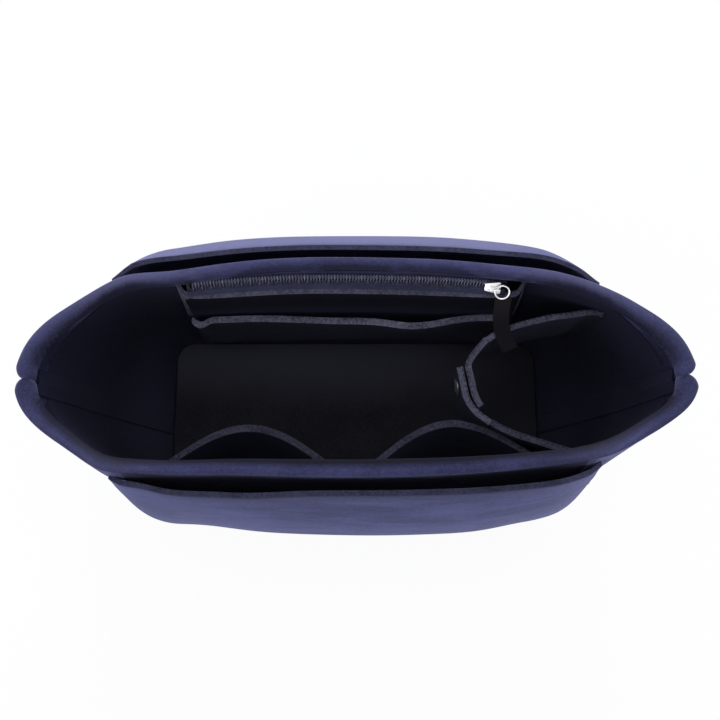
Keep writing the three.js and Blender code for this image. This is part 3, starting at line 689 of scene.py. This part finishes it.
def sew(piece, inset, thread, where=None, body="body", pitch=3.4, thick=0.5):
    """A row of machine stitches on a sheet, a few millimetres in from its outline. where picks the stretch."""
    surface = BVHTree.FromObject(piece, bpy.context.evaluated_depsgraph_get())
    loop = outlines[piece.name]
    walk, row = 0.0, []
    for a, b in zip(loop, loop[1:] + loop[:1]):
        length = (b - a).length
        while length and walk <= length:
            row.append((a.lerp(b, walk / length), (b - a) / length))
            walk += pitch * MM
        walk -= length
    path = []
    for p, along in row:
        if where and not where(p / MM):
            path.append(None)
            continue
        _, normal, _, _ = surface.find_nearest(p)
        best = None
        for sign in (-1, 1):
            target = p + normal.cross(along).normalized() * sign * inset * MM
            hit, face, _, gap = surface.find_nearest(target)
            if best is None or gap < best[2]:
                best = (hit, face, gap)
        near = min((q - best[0]).length for q, _ in row)
        path.append(best[:2] if near > 0.85 * inset * MM and best[2] < 0.5 * inset * MM else None)
    bm = bmesh.new()
    for one, two in zip(path, path[1:] + path[:1]):
        if not one or not two:
            continue
        (a, up_a), (b, up_b) = one, two
        run = b - a
        if not 0.4 * pitch * MM < run.length < 1.6 * pitch * MM:
            continue
        up = (up_a + up_b).normalized()
        x = run.normalized()
        y = up.cross(x).normalized()
        turn = Matrix((x, y, x.cross(y))).transposed().to_4x4()
        size = Matrix.Diagonal((run.length * 0.4, thick * MM / 2, thick * MM * 0.42, 1))
        place = Matrix.Translation((a + b) / 2 + up * 0.06 * MM)
        bmesh.ops.create_uvsphere(bm, u_segments=6, v_segments=5, radius=1, matrix=place @ turn @ size)
    stitches = object_from(bm, f"{piece.name}_stitches_{inset}".replace(".", "_"), threads[thread])
    return finish_piece(stitches, body)


front_wall = build_wall("front", -1)
back_wall = build_wall("back", 1)
lining_faces = (wall_lining_felt, wall_lining_felt)
for side, on_wall, facing in (("front", front_wall, (0, 1, 0)), ("back", back_wall, (0, -1, 0))):
    lining = build_sheet(
        f"{side}_lining", f"{side}_wall_lining", lining_faces,
        sewn=facing,
    )
    sew(lining, 2.6, "dark_thread", where=lambda p: p.z > 100)
# The end tapes are painted lighter towards the rim and towards the floor, as the wall lining is: painted light.
tape_cloth = felt_material(
    "tape_cloth", srgb(16, 17, 28), srgb(32, 33, 51), fineness=1.6, sheen=0.05, streaks=0,
    turns=((srgb(32, 33, 54), "Z", 100, 142), (srgb(42, 43, 61), "Z", 80, 25)),
)
for end, facing in (("left", (1, 0, 0)), ("right", (-1, 0, 0))):
    end_tape = build_sheet(
        f"{end}_end_tape", f"{end}_seam_tape", (tape_cloth, tape_cloth),
        levels=2, edge=0.15, sewn=facing,
    )
    sew(end_tape, 1.6, "dark_thread", pitch=3)

# ---- Base -----------------------------------------------------------------------------------------------
# The base is a felt plate under the walls. A stiff board and a felt lining lie on it inside.
board_face = felt_material("grey_board", srgb(128, 122, 112), srgb(168, 162, 150), fineness=0.4, sheen=0)


def build_plate(name, node, material):
    bm = bmesh.new()
    bm.from_mesh(nodes[node].data)
    bmesh.ops.remove_doubles(bm, verts=bm.verts, dist=0.01 * MM)
    bmesh.ops.dissolve_limit(bm, angle_limit=math.radians(1), verts=bm.verts, edges=bm.edges)
    rims = [e for e in bm.edges if e.calc_face_angle(0) > math.radians(60)]
    bmesh.ops.bevel(bm, geom=rims, offset=0.6 * MM, segments=3, affect="EDGES", profile=0.5, material=-1)
    bm.normal_update()
    under = {f for f in bm.faces if f.normal.z < -0.99}
    outlines[name] = [p * 0.999 for p in outline_of(under)]  # a hair inside the rounded edge
    bmesh.ops.triangulate(bm, faces=[f for f in bm.faces if len(f.verts) > 4])
    plate = object_from(bm, name, material)
    finish_piece(plate, replaced=(node,), smooth_below=30)
    return plate


sew(build_plate("base", "base_felt", navy_felt), 3.5, "navy_thread")
build_plate("base_inner_lining", "base_lining", floor_lining_felt)
nodes["base_board"].data.materials.clear()
nodes["base_board"].data.materials.append(board_face)

# ---- Outer pockets --------------------------------------------------------------------------------------
# One thick felt sheet on each outside face, sewn down both sides and along the foot and left open on top.
# The front pocket is painted darker along its top: painted shade under the rim. Both pockets also carry a mark of
# painted highlight.
front_pocket_felt = felt_material(
    "front_pocket_felt", *navy, sheen=navy_sheen, streaks=0.36, turns=((srgb(19, 20, 42), "Z", 138, 152),),
    marks=(("brushed_up", highlight_navy),),
)
back_pocket_felt = felt_material(
    "back_pocket_felt", *navy, sheen=navy_sheen, streaks=0.36, marks=(("brushed_up", highlight_navy),)
)
pocket_cut_level = 136  # the stitches stop this high, in mm, where the mouth opens
pocket_sewn_from = 118  # and go on up the two sides from this far out


def mouth_drawn_in(p):
    """The middle of a pocket's mouth lies a little closer to the wall than its ends. The front one is also drawn
    in near its left end and slack beside that. The ends are sewn down on the wall."""
    way = -1 if p.y < 0 else 1
    x, high = p.x / MM, step(p.z, 100 * MM, 148 * MM)
    drawn = 2.2 * math.exp(-((x / 90) ** 4))
    if way < 0:
        drawn += 2.2 * math.exp(-(((x + 113) / 16) ** 2)) - 1.9 * math.exp(-(((x + 55) / 24) ** 2))
    closed = 1.5 * step(abs(x), 121, 132) * step(p.z, 118 * MM, 138 * MM)
    return p - Vector((0, way, 0)) * MM * (drawn * high + closed)


front_pocket = build_sheet(
    "front_pocket", "front_outer_pocket", (front_pocket_felt, cut_navy_felt),
    edge=0.9, sewn=(0, -1, 0), adjust=mouth_drawn_in,
)
back_pocket = build_sheet(
    "back_pocket", "back_outer_pocket", (back_pocket_felt, cut_navy_felt),
    edge=0.6, sewn=(0, 1, 0), adjust=mouth_drawn_in,
)
# The mark is a painted highlight: a light band on the back pocket's upper part that fades towards its ends and
# its top edge, and a soft pool of light on the front pocket's left part.
for pocket in (front_pocket, back_pocket):
    brushed_up = pocket.data.attributes.new("brushed_up", "FLOAT", "POINT")
    for v, mark in zip(pocket.data.vertices, brushed_up.data):
        x, z = v.co.x / MM, v.co.z / MM
        if pocket is back_pocket:
            high = step(z, 105, 152) * (1 - 0.7 * step(z, 142, 152))
            mark.value = high * (0.9 - 0.75 * step(abs(x + 15), 80, 145))
        else:
            mark.value = 0.35 * math.exp(-(((x + 92) / 30) ** 2) - ((z - 95) / 30) ** 2)
    sew(pocket, 3.2, "navy_thread", where=lambda p: p.z < pocket_cut_level or abs(p.x) > pocket_sewn_from)

# ---- Inner pockets --------------------------------------------------------------------------------------
# The zip pocket's panel hangs under the zipper and has the slip pocket on its face. Two wider sheets on the
# front wall gape open in arches.
inner_faces = {tone_name: (inner_felt, cut) for tone_name, cut in cut_felts.items()}
inner_faces["in_shade"] = (arch_felt, cut_felts["in_shade"])


def panel_mouth(p):
    """The panel's mouth leans back under the zipper, most of all at its ends."""
    back = 1.6 + 0.9 * step(-p.x, 60 * MM, 98 * MM) + 1.0 * step(p.x, 40 * MM, 85 * MM)
    return p + Vector((0, back * MM * step(p.z, 108 * MM, 132 * MM), 0))


def slip_mouth(p):
    """The slip pocket's mouth dips forward past its middle and lies close to the panel at its right end."""
    x, high = p.x / MM, step(p.z, 66 * MM, 91 * MM)
    back = 0.7 + 4.0 * step(x, 42, 78) - 2.6 * math.exp(-(((x - 33) / 16) ** 2)) + 2.5 * step(-x, 5, 70)
    back -= 6 * step(-x, 85, 97)
    return p + Vector((0, back, 0)) * MM * high


# The zip panel's felt is darker and less glossy than the other inside felt, as painted shade under the zipper,
# and it is painted lighter towards the slip pocket's mouth: painted light.
panel_felt = felt_material(
    "panel_felt", srgb(1, 2, 8), srgb(7, 8, 17), sheen=0.02, streaks=0, turns=((srgb(44, 44, 66), "Z", 112, 82),)
)
panel_felt.node_tree.nodes["Principled BSDF"].inputs["Specular IOR Level"].default_value = 0.1
zip_panel = build_sheet(
    "zip_panel", "zip_pocket_panel", (panel_felt, cut_felts["half_lit"]),
    edge=0.2, adjust=panel_mouth, swell=0.25,
)
left_side = min(p.x for p in outlines["zip_panel"])
right_side = max(p.x for p in outlines["zip_panel"])
for face in zip_panel.data.polygons:  # its sides above the slip pocket are given the cut felt, in a strip that widens upwards
    place, high = face.center, step(face.center.z, 110 * MM, 140 * MM)
    on_left = place.x < left_side + (4.5 + 7 * high) * MM
    on_right = place.x > right_side - (3 + 2 * high) * MM
    if place.z > 84 * MM and (on_left or on_right):
        face.material_index = 1
slip_panel = build_sheet(
    "slip_panel", "slip_pocket_panel", inner_faces["well_lit"], edge=0.2,
    adjust=slip_mouth, swell=0.5,
)
left_arch = build_sheet(
    "left_arch_pocket", "left_gaping_pocket", inner_faces["in_shade"], edge=0.2,
    sewn=(0, 1, 0), swell=0.5,
)


def room_for_tongue(p):
    """The right pocket's top is eased back where the holder's front tongue swings past it."""
    return p - Vector((0, 0.5 * MM * step(p.x, 56 * MM, 65 * MM) * step(p.z, 98 * MM, 107 * MM), 0))


right_arch = build_sheet(
    "right_arch_pocket", "right_gaping_pocket", inner_faces["in_shade"], edge=0.2,
    sewn=(0, 1, 0), adjust=room_for_tongue, swell=0.5,
)
sew(zip_panel, 3, "dark_thread")
sew(slip_panel, 3, "dark_thread", where=lambda p: p.z < 86)
for arch in (left_arch, right_arch):
    sew(arch, 3, "dark_thread", where=lambda p: p.z < 100)

# ---- Bottle holder --------------------------------------------------------------------------------------
# Two felt straps run in from the walls and lap over each other, and a metal snap closes them. Each strap's free
# end is a piece of its own, because it turns on the bend when the snap is opened.


def run_on(bend, way):
    """Lets a length of strap reach its bend, where the next length goes on."""
    def adjust(p):
        near = 1 - step((p.xy - Vector(bend) * MM).length, 1.5 * MM, 4 * MM)
        return p + Vector((0, way * 0.35, 0)) * MM * near
    return adjust


# The front strap's cut edges take the darkest copy of the cut felt and the back strap's the middle one: painted
# shade.
for side, bend, way, tone_name in (("front", (75.5, -18.2), 1, "in_shade"), ("back", (74.6, 29.7), -1, "half_lit")):
    body = f"{side}_tongue"
    strap = build_sheet(
        f"{side}_strap", f"holder_{side}_strap", inner_faces[tone_name],
        edge=0.2, adjust=run_on(bend, way), joined_at=bend, swell=0.4,
    )
    tongue = build_sheet(
        f"{side}_tongue", f"holder_{side}_tongue", inner_faces["half_lit"], body=body,
        edge=0.2, adjust=run_on(bend, -way), joined_at=bend, swell=0.4,
    )
    sew(strap, 2.6, "dark_thread", pitch=3)
    sew(tongue, 2.6, "dark_thread", body=body, pitch=3)


def metal_material(name, colour, rough):
    material = bpy.data.materials.new(name)
    material.use_nodes = True
    tree = material.node_tree
    shader = tree.nodes["Principled BSDF"]
    shader.inputs["Base Color"].default_value = colour
    shader.inputs["Metallic"].default_value = 1
    coords = new_node(tree, "ShaderNodeTexCoord")
    scuffs = new_node(tree, "ShaderNodeTexNoise", Scale=900, Detail=4, Roughness=0.6)
    spread = new_node(tree, "ShaderNodeMapRange")
    spread.inputs["To Min"].default_value = rough * 0.7
    spread.inputs["To Max"].default_value = rough * 1.5
    tree.links.new(coords.outputs["Object"], scuffs.inputs["Vector"])
    tree.links.new(scuffs.outputs["Fac"], spread.inputs["Value"])
    tree.links.new(spread.outputs[0], shader.inputs["Roughness"])
    return material


nickel = metal_material("bright_nickel", (0.9, 0.9, 0.92, 1), 0.28)
dark_nickel = metal_material("dark_nickel", (0.025, 0.025, 0.035, 1), 0.6)


def build_hardware(name, node, body, edge, levels=0, metal=nickel):
    """A small hard piece with rounded edges."""
    bm = bmesh.new()
    bm.from_mesh(nodes[node].data)
    bmesh.ops.remove_doubles(bm, verts=bm.verts, dist=0.01 * MM)
    bmesh.ops.dissolve_limit(bm, angle_limit=math.radians(2), verts=bm.verts, edges=bm.edges)
    if edge:
        bmesh.ops.bevel(
            bm, geom=[e for e in bm.edges if is_sharp(e, 35)], offset=edge * MM, segments=2, affect="EDGES",
            profile=0.5, material=-1, clamp_overlap=True,
        )
    if levels:
        bm = subdivided(bm, levels)
    piece = object_from(bm, name, metal)
    return finish_piece(piece, body, (node,), 35)


build_hardware("snap_button", "snap_cap", "front_tongue", 0.25)
build_hardware("snap_ring", "snap_socket", "front_tongue", 0.1)
build_hardware("snap_ball", "snap_stud", "back_tongue", 0.12)
build_hardware("snap_back_rivet", "snap_rivet", "back_tongue", 0.2)

# ---- Zipper ---------------------------------------------------------------------------------------------
# A small nylon coil zipper closes the pocket in the back wall. Its slider has a ring for a pull, and a short
# ribbon is looped into the ring.
zip_centre = Vector((-5.5, -741.4, 142))  # of the arc that the chain lies on, in mm
zip_radius = 800
zip_tilt = math.radians(42)
chain_ends = (-90, 76)
tooth_pitch = 1.65


def on_zip(along, across, above):
    """A point of the zipper: along the chain, up across it, and off its face, all in mm."""
    turn = (along - zip_centre.x) / zip_radius
    out = zip_radius + across * math.cos(zip_tilt) - above * math.sin(zip_tilt)
    rise = across * math.sin(zip_tilt) + above * math.cos(zip_tilt)
    return (zip_centre + Vector((out * math.sin(turn), out * math.cos(turn), rise))) * MM


def coil_material(name, shade, shine):
    material = bpy.data.materials.new(name)
    material.use_nodes = True
    tree = material.node_tree
    shader = tree.nodes["Principled BSDF"]
    shader.inputs["Roughness"].default_value = 0.38
    coords = new_node(tree, "ShaderNodeTexCoord")
    dust = new_node(tree, "ShaderNodeTexNoise", Scale=300, Detail=3)
    tone = new_node(tree, "ShaderNodeMix", data_type="RGBA")
    tone.inputs["A"].default_value = shade
    tone.inputs["B"].default_value = shine
    tree.links.new(coords.outputs["Object"], dust.inputs["Vector"])
    tree.links.new(dust.outputs["Fac"], tone.inputs["Factor"])
    tree.links.new(tone.outputs["Result"], shader.inputs["Base Color"])
    return material


def build_coil(name, node, way, start, nylon):
    """One monofilament wound flat. way is 1 for the upper half, and start shifts it by part of a turn."""
    turn_steps = 12
    reach = 1.75 if way > 0 else 1.2  # half of a turn's width, more on the upper half, which shows more of it
    turns = int((chain_ends[1] - chain_ends[0]) / tooth_pitch)
    curve = bpy.data.curves.new(name, "CURVE")
    curve.dimensions = "3D"
    curve.bevel_depth = 0.27 * MM
    curve.bevel_resolution = 0
    curve.use_fill_caps = True
    wire = curve.splines.new("POLY")
    wire.points.add(turns * turn_steps - 1)
    for i, point in enumerate(wire.points):
        angle = 2 * math.pi * i / turn_steps
        across = way * 1.15 + reach * math.cos(angle)
        along = chain_ends[0] + tooth_pitch * (i / turn_steps + start) + 0.3 * across
        point.co = (*settled(on_zip(along, across, 1.45 + 0.58 * math.sin(angle))), 1)
    drawn = bpy.data.objects.new(name, curve)
    bpy.context.scene.collection.objects.link(drawn)
    mesh = bpy.data.meshes.new_from_object(drawn.evaluated_get(bpy.context.evaluated_depsgraph_get()))
    bpy.data.objects.remove(drawn)
    bpy.data.curves.remove(curve)
    mesh.materials.clear()
    mesh.materials.append(nylon)
    coil = bpy.data.objects.new(name, mesh)
    bpy.context.scene.collection.objects.link(coil)
    finish_piece(coil, replaced=(node,), smooth_below=80)


zip_cloth = felt_material("zip_cloth", srgb(32, 33, 52), srgb(70, 72, 100), fineness=1.6, sheen=0.1, streaks=0)
# The upper coil gets a far lighter nylon than the lower one: painted light on the half that faces up and painted
# shade on the half below it.
for half_name, tape_area, way, shade, shine in (
    ("upper", 1.2e-3, 1, srgb(66, 68, 96), srgb(136, 138, 166)),
    ("lower", 1.8e-3, -1, srgb(26, 27, 41), srgb(62, 64, 86)),
):
    nylon = coil_material(f"{half_name}_nylon", shade, shine)
    half = build_sheet(
        f"{half_name}_zip_tape", f"zipper_{half_name}_tape", (zip_cloth, zip_cloth),
        levels=2, edge=0.1, area=tape_area,
    )
    for inset in (0.8, 2.4):
        sew(half, inset, "navy_thread", pitch=1.9, thick=0.4, where=lambda p: abs(p.x - zip_centre.x) < 84)
    build_coil(f"{half_name}_zip_coil", f"zipper_{half_name}_coil", way, 0.25 * way, nylon)
build_hardware("zip_upper_stop", "zipper_upper_top_stop", "body", 0.3, metal=dark_nickel)
build_hardware("zip_lower_stop", "zipper_lower_top_stop", "body", 0.3, metal=dark_nickel)
build_hardware("zip_end_stop", "zipper_bottom_stop", "body", 0.3, metal=dark_nickel)
build_hardware("zip_slider", "zipper_slider", "slider", 0.2)
build_hardware("zip_ring", "zipper_pull", "pull", 0, 2)
# The ribbon is painted lighter on its upper part, near the zipper: painted light.
ribbon_cloth = felt_material(
    "ribbon_cloth", srgb(8, 6, 8), srgb(20, 17, 20), fineness=1.8, sheen=0.03, streaks=0,
    turns=((srgb(28, 23, 26), "Z", 118, 138),),
)
build_sheet(
    "ribbon_end", "pull_ribbon", (ribbon_cloth, ribbon_cloth), body="pull",
    levels=2, edge=0.15,
)
